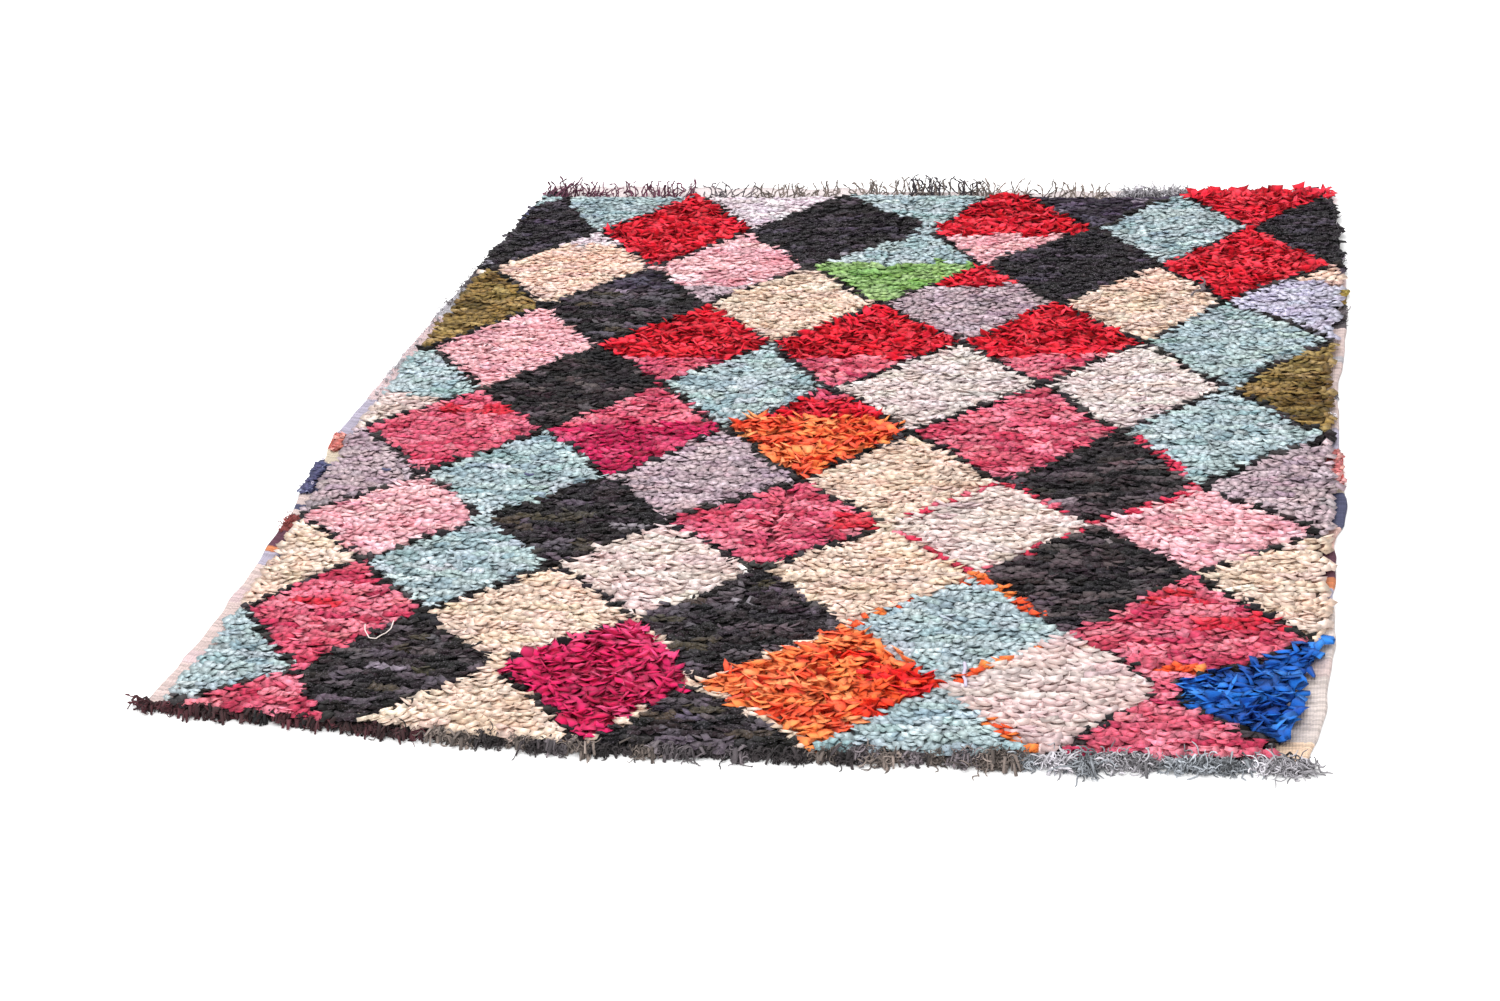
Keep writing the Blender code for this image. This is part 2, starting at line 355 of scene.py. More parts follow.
def latticePlace(x, y):
    rightShare = x / lattice["rowsApart"] + 0.5
    farShare = (y - lattice["columnsFrom"]) / lattice["columnsApart"]
    rows = [mix(a, b, rightShare) for a, b in zip(lattice["rowsLeft"], lattice["rowsRight"])]
    columns = [mix(a, b, farShare) for a, b in zip(lattice["columnsNear"], lattice["columnsFar"])]
    u = float(np.interp(x, columns, range(len(columns))))
    v = float(np.interp(y, rows, range(len(rows))))
    for column, row, across, along in movedCorners:
        near = math.exp(-((u - column) ** 2 + (v - row) ** 2) / 0.5)
        u, v = u - across * near, v - along * near
    return u, v


def diamondAt(u, v):
    # column and row of the diamond, how far in from its border, and the diamond beyond that border
    a, b = u + v, u - v
    a0, b0 = 2 * math.floor(a / 2) + 1, 2 * math.floor(b / 2) + 1
    da, db = a - a0, b - b0
    column, row = (a0 + b0) // 2, (a0 - b0) // 2
    if abs(da) > abs(db):
        step = 1 if da > 0 else -1
        beyond = (row + step, column + step)
    else:
        step = 1 if db > 0 else -1
        beyond = (row - step, column + step)
    return (row, column), 1 - max(abs(da), abs(db)), beyond


# The rags of the pile

def jersey(width, deepShade, tip, *tones, stray=11, thick=3.4, lift=0, flecks=0.0):
    # sizes in millimetres, factors on its colour at its roots and tips (painted shade below one, painted
    # light above one), its colours with their weights, by how many degrees its cut ends stray, and how much
    # it stands above the rest
    return {
        "shape": "strip", "width": width, "deepShade": deepShade, "tip": tip, "tones": tones,
        "stray": stray, "thick": thick, "lift": lift, "flecks": flecks,
    }


def woven(width, deepShade, tip, *tones, lift=3):
    return {**jersey(width, deepShade, tip, *tones, stray=24, thick=2.2, lift=lift), "shape": "scrap"}


rags = {
    "rose": jersey(10.2, 0.46, 1.22, (214, 93, 118, 5), (233, 131, 150, 3), (190, 58, 88, 2)),
    "coral": jersey(10.0, 0.88, 1.05, (212, 42, 64, 3), (226, 76, 92, 1), lift=2),
    "crimson": jersey(10.0, 0.60, 1.12, (200, 32, 88, 5), (220, 76, 118, 2), (170, 18, 68, 3)),
    "mint": jersey(8.8, 0.54, 1.10, (182, 199, 203, 5), (197, 211, 215, 2), (161, 183, 190, 2)),
    "cream": jersey(11.4, 1.18, 0.96, (231, 205, 188, 5), (235, 212, 197, 2), (225, 197, 177, 2), stray=13),
    "peach": jersey(11.0, 1.18, 0.96, (241, 206, 190, 4), (244, 215, 201, 2), (232, 192, 174, 1), stray=13),
    "blush": jersey(12.4, 1.16, 0.96, (226, 206, 200, 5), (233, 216, 211, 2), (214, 191, 186, 2), stray=13),
    "chunky": jersey(14.0, 1.24, 0.96, (214, 190, 187, 5), (222, 203, 200, 2), (204, 177, 174, 1), thick=6.4),
    "ivory": jersey(10.8, 1.04, 0.99, (226, 210, 207, 5), (232, 219, 216, 2), (210, 192, 189, 1), stray=12),
    "lilac": jersey(9.0, 1.20, 1.00, (229, 214, 221, 5), (235, 223, 229, 2), (217, 200, 210, 1), stray=12),
    "pink": jersey(11.2, 1.10, 0.97, (239, 183, 190, 5), (246, 199, 205, 2), (227, 159, 169, 2), stray=12),
    "grey": jersey(8.8, 0.54, 1.16, (191, 168, 176, 5), (205, 184, 192, 2), (171, 149, 159, 2)),
    "charcoal": jersey(
        9.6, 0.30, 1.16, (42, 33, 38, 5), (92, 81, 90, 3), (18, 14, 16, 4), (74, 64, 53, 1),
        (140, 130, 140, 0.25), stray=18, flecks=0.22,
    ),
    "brownBlack": jersey(
        9.6, 0.30, 1.16, (44, 33, 37, 5), (90, 77, 82, 3), (18, 13, 16, 4), (140, 128, 134, 0.2),
        stray=18, flecks=0.15,
    ),
    "black": jersey(
        9.0, 0.30, 1.16, (28, 21, 28, 6), (74, 64, 78, 2), (14, 10, 14, 4), (160, 150, 164, 0.25),
        stray=24, flecks=0.32,
    ),
    "dusk": jersey(9.2, 0.40, 1.16, (84, 74, 92, 3), (52, 42, 56, 3), (150, 136, 154, 1)),
    "red": woven(13.0, 0.78, 1.06, (226, 34, 56, 5), (238, 60, 78, 2), (190, 14, 36, 2), lift=2),
    "orange": woven(14.5, 0.88, 1.05, (255, 134, 76, 5), (255, 152, 96, 2), (250, 94, 60, 3)),
    "vermilion": woven(14.0, 0.88, 1.05, (248, 60, 34, 4), (250, 96, 48, 2), (234, 36, 40, 1)),
    "magenta": woven(14.0, 0.70, 1.08, (206, 32, 92, 5), (224, 68, 120, 2), (180, 18, 74, 2)),
    "blue": woven(14.0, 0.88, 1.05, (26, 98, 188, 5), (50, 122, 208, 2), (18, 76, 162, 3)),
    "olive": jersey(9.6, 0.45, 1.14, (152, 124, 72, 5), (176, 148, 98, 2), (108, 86, 44, 3)),
    "lavender": jersey(9.0, 0.80, 1.08, (195, 190, 210, 5), (208, 204, 222, 2)),
    "lime": jersey(9.4, 0.75, 1.06, (146, 184, 110, 5), (166, 198, 134, 2), (118, 162, 84, 2)),
    "outline": jersey(9.0, 0.45, 1.05, (40, 34, 37, 5), (66, 60, 62, 2), (26, 22, 24, 2), stray=20),
    "rosyLine": jersey(8.8, 0.88, 1.05, (210, 56, 84, 3), (228, 108, 130, 1), stray=20),
    "orangeLine": jersey(9.4, 0.88, 1.05, (248, 88, 42, 3), (252, 130, 64, 2), stray=22, lift=1),
    "salmonEnds": jersey(8.0, 0.88, 1.05, (208, 122, 122, 3), (230, 164, 160, 2)),
    "brickEnds": jersey(8.0, 0.88, 1.05, (196, 110, 102, 3), (226, 160, 152, 2)),
    "slateEnds": jersey(8.4, 0.88, 1.05, (84, 84, 120, 3), (144, 146, 182, 1)),
    "mustard": jersey(9.0, 0.88, 1.05, (166, 138, 66, 3), (142, 116, 58, 1)),
}

# Diamonds of the near row first, left to right. Three parts: a lower rag, where it stops, and an upper rag.
diamondChart = (
    ("rose", "cream", "charcoal", "mint", "rose"),
    ("mint", "charcoal", "magenta", "orange", "chunky", "blue"),
    ("rose", "cream", "charcoal", "mint", "rose"),
    ("cream", "mint", "blush", "cream", "brownBlack", "cream"),
    ("pink", "charcoal", "rose", "blush", "pink"),
    ("grey", "mint", "grey", "cream", "brownBlack", "grey"),
    ("rose", ("crimson", 0.12, "rose"), ("orange", 0.30, "red"), "rose", "mint"),
    (("blush", -0.25, "mint"), "brownBlack", "mint", "ivory", "ivory", "olive"),
    ("pink", ("rose", -0.36, "red"), ("rose", -0.30, "red"), ("rose", -0.34, "red"), "mint"),
    (
        "olive", ("charcoal", 0.40, "dusk"), "cream", ("grey", 0.45, "red"), ("cream", 0.3, "peach"),
        ("lavender", 0.55, "peach"),
    ),
    ("peach", ("grey", -0.55, "pink"), ("lime", 0.08, "mint"), "black", "red"),
    ("black", "red", ("black", 0.45, "charcoal"), ("pink", -0.18, "red"), "mint", "black"),
    ("mint", "lilac", "mint", "dusk", "red"),
)

# Streaks of another rag: which diamond, and the lowest and highest places across and along in it
streaks = table(
    "diamond low high rag",
    ((2, 1), (-0.5, 0.12), (0.1, 0.26), "coral"),
    ((2, 9), (0.05, 0.12), (0.85, 0.30), "coral"),
    ((2, 9), (-0.35, 0.50), (0.15, 0.58), "coral"),
    ((2, 9), (-0.1, -0.72), (0.25, -0.60), "orangeLine"),
    ((4, 5), (0.45, -0.12), (1.0, 0.22), "coral"),
    ((6, 1), (-0.3, 0.36), (0.7, 0.58), "coral"),
    ((6, 5), (-0.4, 0.78), (0.4, 1.0), "rose"),
    ((10, 1), (-0.4, 0.62), (0.4, 1.0), "lilac"),
    ((1, 6), (0.30, -0.5), (1.0, 0.25), "vermilion"),
    ((1, 6), (-0.1, 0.3), (0.35, 0.45), "vermilion"),
)

# The outline yarn between two diamonds, where it isn't the usual black. None means no outline there.
colouredBorders = {
    "rosyLine": (
        ((4, 7), (5, 6)), ((4, 7), (5, 8)), ((3, 6), (4, 7)), ((3, 8), (4, 7)), ((4, 9), (5, 8)),
        ((5, 8), (6, 9)),
    ),
    "orangeLine": (((2, 7), (3, 6)), ((2, 7), (3, 8)), ((1, 8), (2, 7)), ((0, 7), (1, 8))),
    "cream": (((1, 6), (2, 5)), ((0, 5), (1, 6)), ((1, 4), (2, 5)), ((0, 5), (1, 4))),
    None: (((1, 6), (2, 7)), ((0, 7), (1, 6)), ((2, 5), (3, 6)), ((2, 5), (3, 4))),
}
outlineYarns = {border: yarn for yarn, borders in colouredBorders.items() for border in borders}


def entryAt(diamond):
    row = min(max(diamond[0], 0), len(diamondChart) - 1)
    entries = diamondChart[row]
    place = (diamond[1] - 1) // 2 if row % 2 == 0 else diamond[1] // 2
    return entries[min(max(place, 0), len(entries) - 1)]


def ragIn(diamond, u, v):
    du, dv = u - diamond[1], v - diamond[0] + lattice["stopWaver"] * wander(u, v, 0.35, 15)
    for place in runTogether:
        if abs(u - place["corner"][0]) + abs(v - place["corner"][1]) < place["reach"]:
            return place["rag"]
    for streak in streaks:
        inside = streak["low"][0] < du < streak["high"][0] and streak["low"][1] < dv < streak["high"][1]
        if inside and streak["diamond"] == diamond:
            return streak["rag"]
    entry = entryAt(diamond)
    if isinstance(entry, str):
        return entry
    return entry[0] if dv < entry[1] else entry[2]


def ragAt(x, y):
    u, v = latticePlace(x, y)
    u += lattice["unevenness"] * wander(x, y, lattice["swell"], 1)
    v += lattice["unevenness"] * wander(x, y, lattice["swell"], 2)
    diamond, inside, beyond = diamondAt(u, v)
    rag = ragIn(diamond, u, v)
    other = ragIn(beyond, u, v)
    if inside > pile["outline"] * (1 + 0.35 * wander(x, y, 0.02, 3)):
        return rag
    if rag == other or v < 0 or not 0 < u < 10:
        return rag
    yarn = outlineYarns.get(tuple(sorted((diamond, beyond))), "outline")
    if yarn is None or wander(x, y, 0.045, 4) > (0.5 if yarn == "outline" else 0.22):
        # the outline has gaps, and a coloured one has more
        return rag
    return yarn


# Tufts: a few are modelled, and each end of every knot is a copy of one

pile = {
    "rows": 111,
    "outline": 0.052,  # how far the outline reaches in, as a share of half a diamond
    "rimRoot": 0.0030,  # knots at the rim start at the weave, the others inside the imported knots
    "root": 0.0085,
    "rise": 0.0115,
    "deepFloor": 0.0029,
    "deepHeight": 0.0094,
    "knotStep": 0.88,
    "crease": -0.014,  # the fold down the middle, where the pile parts
    "creaseReach": 0.028,
    "reach": 0.011,  # how far the tips lie in front of their knots
    "leftStart": 0.012,  # the pile starts this far in from the left band's edge, up to this place
    "leftStops": 0.50,
    "leftFade": 0.12,
    "rimLie": 0.010,  # the share of the width in which the tufts lie outwards
    "farLie": 0.975,  # past this share of the length, those at the right lie back
    "backEnd": 0.0028,  # the two ends of a knot lie this far behind and before it
    "lowEnd": 0.93,  # and the front one is lower
    "taper": 0.035,  # over this way in from the edge, the tufts grow from the least size
    "leastSize": 0.72,
    "rimReach": 0.013,
    "rowWaver": 0.0035,
    "sideWaver": 0.006,
    "deepCells": (100, 112),
    "deepInsets": (0.009, 0.011, 0.012, 0.010),  # from the left, right, near and far edges
}

# Jersey strips and woven scraps: how closely their knots stand, how far the two ends of a knot splay, how
# much they lean and roll in degrees, how much wider they spread than they are cut, how far their points
# stray, and the grain of their fibres. A path starts with a width and a thickness. Each further step goes
# forward and up in millimetres, turns over in degrees, then takes a new width and thickness as shares of the
# rag's own.
families = {
    "strip": {
        "sides": 3, "pitch": 1.0, "splay": 15, "lean": 6, "roll": 9, "spread": (1.5, 2.15),
        "jitter": 0.0006, "grain": 900.0,
        "paths": (
            ((0.9, 0.9), (-3.8, 9.4, 62, 1.05, 1.00), (-8.0, -1.2, 38, 0.90, 0.60)),
            ((0.9, 0.9), (-4.8, 8.6, 66, 1.10, 0.90), (-7.4, -2.6, 44, 1.00, 0.50)),
            ((0.9, 0.8), (-3.0, 10.2, 56, 1.00, 1.05), (-7.2, 0.8, 36, 0.84, 0.70)),
            ((0.8, 0.9), (-4.2, 9.0, 64, 1.10, 0.80), (-9.2, -1.0, 34, 0.70, 0.50)),
            ((0.9, 0.9), (-5.2, 9.0, 66, 1.00, 0.90), (-8.6, -2.2, 42, 0.92, 0.60)),
            ((0.9, 0.8), (-3.4, 10.0, 58, 1.05, 1.00), (-6.8, 1.6, 32, 0.96, 0.60)),
        ),
    },
    "scrap": {
        "sides": 4, "pitch": 0.84, "splay": 26, "lean": 11, "roll": 17, "spread": (1.35, 1.85),
        "jitter": 0.0012, "grain": 1500.0,
        "paths": (
            ((0.6, 0.8), (-3.4, 10.0, 58, 1.00, 1.0), (-9.4, -1.4, 36, 0.70, 0.45)),
            ((0.5, 0.8), (-1.6, 11.2, 42, 1.06, 0.9), (-8.4, 3.0, 36, 0.80, 0.45)),
            ((0.6, 0.8), (-4.6, 9.0, 64, 1.12, 0.9), (-8.8, -3.2, 30, 0.60, 0.45)),
            ((0.5, 0.8), (-2.4, 11.4, 36, 0.80, 1.0), (-5.6, 4.6, 46, 1.05, 0.50)),
            ((0.6, 0.8), (-5.0, 8.6, 68, 0.96, 1.0), (-10.6, 1.4, 10, 0.56, 0.40)),
        ),
    },
}


def startEnd(name, sides):
    deselectAll()
    bpy.ops.mesh.primitive_circle_add(vertices=sides, radius=0.5, fill_type="NGON")
    model = bpy.context.object
    model.name = name
    bpy.ops.object.mode_set(mode="EDIT")
    return model


def faceOutwards():
    bpy.ops.mesh.select_all(action="SELECT")
    bpy.ops.mesh.normals_make_consistent(inside=False)


def takeArrays(model, margin):
    # the arrays of a modelled shape, which is then taken out of the scene
    faceOutwards()
    bpy.ops.uv.smart_project(angle_limit=math.radians(66), island_margin=margin)
    bpy.ops.object.mode_set(mode="OBJECT")
    mesh = model.data
    found = {
        "points": np.array([v.co[:] for v in mesh.vertices]),
        "corners": np.array([c.vertex_index for c in mesh.loops]),
        "starts": np.array([f.loop_start for f in mesh.polygons]),
        "map": np.array([c.uv[:] for c in mesh.uv_layers.active.data]),
    }
    bpy.data.objects.remove(model)
    bpy.data.meshes.remove(mesh)
    return found


def modelTuft(name, sides, start, *steps):
    # of unit width and thickness, with its path in centimetres
    tuft = startEnd(name, sides)
    width, thickness = start
    if sides == 3:
        # the flat side is the upper one
        bpy.ops.transform.rotate(value=math.pi, orient_axis="Z", center_override=(0, 0, 0))
    bpy.ops.transform.resize(value=(width, thickness, 1), center_override=(0, 0, 0))
    middle, along = Vector((0, 0, 0)), [0.0]
    for forward, up, over, newWidth, newThickness in steps:
        step = Vector((0, forward, up)) * 0.1
        middle = middle + step
        along.append(along[-1] + step.length)
        bpy.ops.mesh.extrude_region_move(TRANSFORM_OT_translate={"value": step})
        bpy.ops.transform.rotate(value=-math.radians(over), orient_axis="X", center_override=middle)
        grow = newThickness / thickness
        bpy.ops.transform.resize(value=(newWidth / width, grow, grow), center_override=middle)
        width, thickness = newWidth, newThickness
    found = takeArrays(tuft, 0.03)
    found["along"] = np.repeat([x / along[-1] for x in along], sides)
    found["ring"] = np.repeat(range(len(along)), sides)
    return found


tuftModels = {
    name: [modelTuft(name + str(i), family["sides"], *path) for i, path in enumerate(family["paths"])]
    for name, family in families.items()
}
print("tufts modelled:", sum(len(models) for models in tuftModels.values()))


def leanAt(x, y, along, across):
    # which way the pile lies, as a direction on the floor
    aside = x - pile["crease"] - 0.012 * wander(0, y, 0.3, 5)
    part = math.exp(-(aside / pile["creaseReach"]) ** 2) * smooth((along - 0.02) / 0.1)
    lie = Vector((0.45 * wander(x, y, 0.11, 6), -1.0))
    lie += Vector((math.copysign(1.1, aside), 0.15)) * part * (0.7 + 0.6 * wander(0, y, 0.09, 11))
    atRight = float(smooth(1 - (1 - across) / pile["rimLie"]))
    atLeft = float(smooth(1 - across / pile["rimLie"]))
    lie += Vector((1.0, 0.3)) * atRight - Vector((0.5, 0)) * atLeft
    if x > edges["bareStops"]:
        lie += Vector((0.3, 2.2)) * float(smooth((along - pile["farLie"]) / 0.02))
    return lie


def pickTone(rag):
    weights = np.array([tone[3] for tone in rag["tones"]], float)
    tone = np.array(rag["tones"][dice.choice(len(weights), p=weights / weights.sum())][:3], float)
    return tone * (1 + 0.04 * dice.standard_normal()) + 2.0 * dice.standard_normal(3)


def tieKnot(rag, x, y, lie, taper, tone, fromRim=0.0):
    # the two ends of one knot, as places, turns and sizes
    family = families[rag["shape"]]
    width = rag["width"] * 0.001
    swell = (1 + 0.035 * rag["lift"]) * (1 + 0.10 * wander(x, y, 0.055, 10)) * taper
    root = mix(pile["rimRoot"], pile["root"], float(smooth(fromRim / pile["rimReach"])))
    stretch = 1 + (pile["root"] - root) / pile["rise"]
    splay = dice.choice((-1, 1)) * family["splay"]
    ends = []
    for back in (1.0, -1.0):
        size = dice.uniform(0.88, 1.10) * swell * stretch * (pile["lowEnd"] if back < 0 else 1.0)
        thick = rag["thick"] * 0.001 * dice.uniform(0.85, 1.2)
        turn = splay * back + dice.normal(0, rag["stray"])
        across = x + 0.0012 * dice.standard_normal()
        along = y + pile["backEnd"] * back + 0.0009 * dice.standard_normal()
        ends.append({
            "place": (across, along, root),
            "turn": math.atan2(lie.x, -lie.y) + math.radians(turn),
            "lean": math.radians(dice.normal(0, family["lean"]) + 8 * wander(x, y, 0.07, 9)),
            "roll": math.radians(dice.normal(0, family["roll"])),
            "size": (width * dice.uniform(*family["spread"]), thick, 0.01 * size),
            "tone": np.clip(tone * (1 + 0.03 * dice.standard_normal()), 4, 252),
        })
    return ends


def pileLeft(y):
    start = pile["leftStart"] * smooth((pile["leftStops"] - y) / pile["leftFade"] + 1)
    return edgeAt("left", y) + edgeAt("leftBand", y) + start


def pileRight(y):
    return edgeAt("right", y) - edgeAt("rightBand", y)


def sowPile():
    tufts = {}
    for row in range(pile["rows"]):
        along = (row + 0.3) / pile["rows"]
        sideY = mix(nearSide, farSide, along)
        left = float(pileLeft(sideY)) + pile["sideWaver"] * wander(row, 0, 2.3, 8)
        right = float(pileRight(sideY)) + pile["sideWaver"] * wander(row, 9, 2.3, 8)
        x = left + 0.004 * dice.random()
        strip, knots = None, 0
        while x < right:
            near = nearEnd(x) + edges["bareNear"]
            far = bareEnd(x)
            y = float(mix(near, far, along)) + pile["rowWaver"] * wander(x, row * 0.016, 0.09, 7)
            name = ragAt(x, y - pile["reach"])
            rag = rags[name]
            if name != strip or knots == 0:
                # one strip of rag makes a few knots side by side
                tone, strip, knots = pickTone(rag), name, int(dice.integers(2, 7))
            knots -= 1
            fromFar = far - y if x < edges["bareStops"] else 1.0
            fromEdge = min(fromFar, x - left + 0.01)
            taper = mix(pile["leastSize"], 1.0, float(smooth(fromEdge / pile["taper"])))
            lie = leanAt(x, y, along, (x - left) / (right - left))
            fromRim = min(x - left, right - x, y - near, far - y)
            tufts.setdefault(name, []).extend(tieKnot(rag, x, y, lie, taper, tone, fromRim))
            pitch = families[rag["shape"]]["pitch"]
            x += rag["width"] * 0.001 * pile["knotStep"] * pitch * dice.uniform(0.88, 1.12)
    return tufts


# Ends that hang over the side bands: where, how many, how far in they start, and their size
sideTufts = table(
    "side from to rag count inset size",
    ("right", -0.210, -0.110, "salmonEnds", 26, 0.010, 0.46),
    ("right", 0.430, 0.490, "mustard", 22, 0.010, 0.56),
    ("right", 0.350, 0.430, "charcoal", 14, 0.014, 0.56),
    ("right", 0.560, 0.950, "black", 80, 0.016, 0.66),
    ("left", -0.185, -0.130, "brickEnds", 22, 0.012, 0.42),
    ("left", -0.328, -0.236, "slateEnds", 34, 0.011, 0.50),
    ("left", 0.795, 0.835, "slateEnds", 16, 0.012, 0.60),
    ("left", 0.600, 0.930, "black", 70, 0.018, 0.66),
)


def hangSideTufts(tufts):
    for group in sideTufts:
        way = 1 if group["side"] == "right" else -1
        rag = rags[group["rag"]]
        for k in range(group["count"]):
            y = mix(group["from"], group["to"], dice.random())
            x = float(edgeAt(group["side"], y)) - way * group["inset"] * dice.uniform(0.5, 1.5)
            lie = Vector((way * dice.uniform(0.5, 1.3), -0.9))
            knot = tieKnot(rag, x, y, lie, group["size"], pickTone(rag))
            tufts.setdefault(group["rag"], []).extend(knot)


def buildMesh(name, points, corners, starts, maps):
    mesh = bpy.data.meshes.new(name)
    mesh.vertices.add(len(points))
    mesh.vertices.foreach_set("co", points.ravel())
    mesh.loops.add(len(corners))
    mesh.loops.foreach_set("vertex_index", corners)
    mesh.polygons.add(len(starts))
    mesh.polygons.foreach_set("loop_start", starts)
    mesh.update(calc_edges=True)
    mesh.uv_layers.new(name="OFBake").uv.foreach_set("vector", maps.ravel())
    return mesh


def setAttribute(mesh, name, kind, key, values, domain="POINT"):
    mesh.attributes.new(name, kind, domain).data.foreach_set(key, values.ravel())


def copyFaces(model, cells, across, firstPoint=0, firstCorner=0):
    # corners, face starts and map of a model's copies, each in its own cell of the map
    steps = np.arange(len(cells))[:, None]
    corners = (model["corners"][None] + firstPoint + steps * len(model["points"])).ravel()
    starts = (model["starts"][None] + firstCorner + steps * len(model["corners"])).ravel()
    cell = np.stack([cells % across, cells // across], 1)[:, None]
    return corners, starts, ((cell + 0.05 + 0.9 * model["map"][None]) / across).reshape(-1, 2)


def copyTones(tones, times):
    return np.repeat(np.concatenate([linear(tones), np.ones((len(tones), 1))], 1), times, 0)


def turned(first, second, angle):
    return first * np.cos(angle) - second * np.sin(angle), first * np.sin(angle) + second * np.cos(angle)


def growTufts(name, tufts, family):
    parts = []
    models, jitter = tuftModels[family], families[family]["jitter"]
    across = math.ceil(math.sqrt(len(tufts)))
    pick = dice.integers(0, len(models), len(tufts))
    firstPoint, firstCorner = 0, 0
    for i, model in enumerate(models):
        chosen = np.flatnonzero(pick == i)
        count = len(chosen)
        if not count:
            continue
        size, lean, turn, roll, place, tone = (
            np.array([tufts[k][key] for k in chosen])[:, None]
            for key in ("size", "lean", "turn", "roll", "place", "tone")
        )
        unit, ring, along = model["points"], model["ring"], model["along"]
        # width and thickness belong to each ring, and the path of the ring's middles to the length
        rings = ring.max() + 1
        middles = np.array([unit[ring == r].mean(0) for r in range(rings)])[ring]
        path = middles[None] * size[..., 2:3]
        shape = path + (unit - middles)[None] * size[..., [0, 1, 1]]
        wobble = dice.normal(0, jitter, (count, rings, 3))[:, ring]
        shape = shape + wobble * (along[None, :, None] + 0.2)
        shape = shape + dice.normal(0, jitter * 0.7, shape.shape)
        x, y, z = shape[..., 0], shape[..., 1], shape[..., 2]
        level, roll = path[..., 2], roll * along[None]
        rise = z - level
        x, z = x * np.cos(roll) - rise * np.sin(roll), level + rise * np.cos(roll) + x * np.sin(roll)
        y, z = turned(y, z, lean)
        x, y = turned(x, y, turn)
        spots = (np.stack([x, y, z], 2) + place).reshape(-1, 3)
        spots[:, 2] = np.maximum(spots[:, 2], 0.0004)  # no tip goes through the floor
        faces = copyFaces(model, chosen, across, firstPoint, firstCorner)
        parts.append((spots, *faces, copyTones(tone[:, 0], len(unit)), np.tile(along, count)))
        firstPoint += count * len(unit)
        firstCorner += count * len(model["corners"])
    *shapes, colours, heights = (np.concatenate(part) for part in zip(*parts))
    mesh = buildMesh(name, *shapes)
    setAttribute(mesh, "ragColour", "FLOAT_COLOR", "color", colours)
    setAttribute(mesh, "tuftAlong", "FLOAT", "value", heights)
    return addPiece(name, mesh)


def ragMaterial(name, deepShade, tip, flecks=0.0, grain=900.0):
    material, link, shader = startMaterial(name, 0.04)
    place = link.node("TexCoord", out=3)
    colour = link.node("Attribute", {"attribute_name": "ragColour"})
    along = link.node("Attribute", {"attribute_name": "tuftAlong"}, 2)
    fibres = link.node("TexNoise", Vector=place, Scale=grain, Detail=3.0, Roughness=0.7)
    mottle = link.node("TexNoise", Vector=place, Scale=220.0, Detail=2.0)
    if flecks:
        specks = link.node("TexNoise", Vector=place, Scale=430.0, Detail=1.0)
        share = ((specks - 0.58) * 10.0).clipped() * flecks
        colour = colour.blended((*linear((176, 164, 178)), 1.0), share)
    # painted shade and light along each tuft: its colour is scaled from deepShade at the root to tip at the
    # tip. On most rags this darkens the roots as shade in the gaps and lightens the tips as highlights. On
    # pale rags it lightens the roots as bounced light and dims the tips a little. The fibre and mottle noise
    # is the cloth's own uneven tone.
    shade = (deepShade + (tip - deepShade) * along) * (0.84 + 0.22 * fibres + 0.10 * mottle)
    height = fibres * 0.7 + mottle * 0.5
    relief = 0.22 if deepShade > 0.95 else 0.6  # pale jersey is the smoothest
    return plugIn(material, shader, colour.dimmed(shade), 0.86 + 0.1 * fibres, height, 0.0012, relief)


def weaveMaterial(name):
    material, link, shader = startMaterial(name, 0.04)
    place = link.node("TexCoord", out=3)
    colour = link.node("Attribute", {"attribute_name": "weaveColour"})
    wefts = link.node(
        "TexWave", {"bands_direction": "Y"}, 1,
        Vector=place, Scale=190.0, Distortion=1.2, Detail=2.0, Detail_Scale=2.0,
    )
    warps = link.node(
        "TexWave", {"bands_direction": "X"}, 1, Vector=place, Scale=80.0, Distortion=1.0, Detail=2.0
    )
    fibres = link.node("TexNoise", Vector=place, Scale=700.0, Detail=3.0)
    height = wefts * 0.6 + warps * 0.4 + fibres * 0.4
    tone = colour.dimmed(0.62 + 0.26 * wefts + 0.14 * fibres + 0.08 * warps)
    return plugIn(material, shader, tone, 0.93, height, 0.0016, 0.7)


def layGrid(name, across, along):
    # a flat grid, and how far across and along each of its points lies
    deselectAll()
    bpy.ops.mesh.primitive_grid_add(x_subdivisions=across, y_subdivisions=along, size=1)
    grid = bpy.context.object
    grid.name = name
    shares = np.array([v.co[:2] for v in grid.data.vertices]) + 0.5
    return grid, shares[:, 0], shares[:, 1]


def placePoints(piece, x, y, z):
    piece.data.vertices.foreach_set("co", np.stack([x, y, z], 1).ravel())


def colourFaces(piece, toneAt):
    colours = np.ones((len(piece.data.loops), 4))
    for face in piece.data.polygons:
        middle = np.mean([piece.data.vertices[k].co[:2] for k in face.vertices], 0)
        colours[face.loop_start : face.loop_start + face.loop_total, :3] = toneAt(*middle)
    setAttribute(piece.data, "weaveColour", "FLOAT_COLOR", "color", colours, "CORNER")


def thicken(piece, thickness):
    body = piece.modifiers.new("body", "SOLIDIFY")
    body.thickness, body.offset = thickness, 1.0
    bpy.ops.object.modifier_apply(modifier="body")


